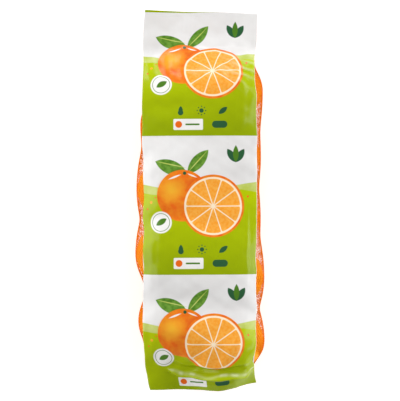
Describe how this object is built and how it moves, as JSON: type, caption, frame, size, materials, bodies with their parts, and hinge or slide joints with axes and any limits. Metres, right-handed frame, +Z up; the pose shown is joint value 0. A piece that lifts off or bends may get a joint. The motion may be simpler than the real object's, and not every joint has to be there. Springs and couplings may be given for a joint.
{
  "type": "net of oranges",
  "caption": "Long retail pack of oranges in a knitted orange net, with a printed plastic film down its front and flat sealed ends, lying on its back.",
  "frame": {"origin": "middle of the pack's outline, on the surface that the pack lies on", "axes": "+X to the right across the pack, +Y along the pack towards its top end, +Z up through the printed film"},
  "size_m": [0.1375, 0.4065, 0.0704],
  "materials": {
    "orange_net": "knitted polyethylene net, satin",
    "orange_peel": "waxy dimpled peel, satin",
    "printed_film": "printed polyethylene film, soft gloss",
    "clear_tape": "milky heat-sealed film tape, soft gloss"
  },
  "bodies": {
    "root": {"fruit_net": "orange_net", "front_film": "printed_film"}
  },
  "joints": []
}
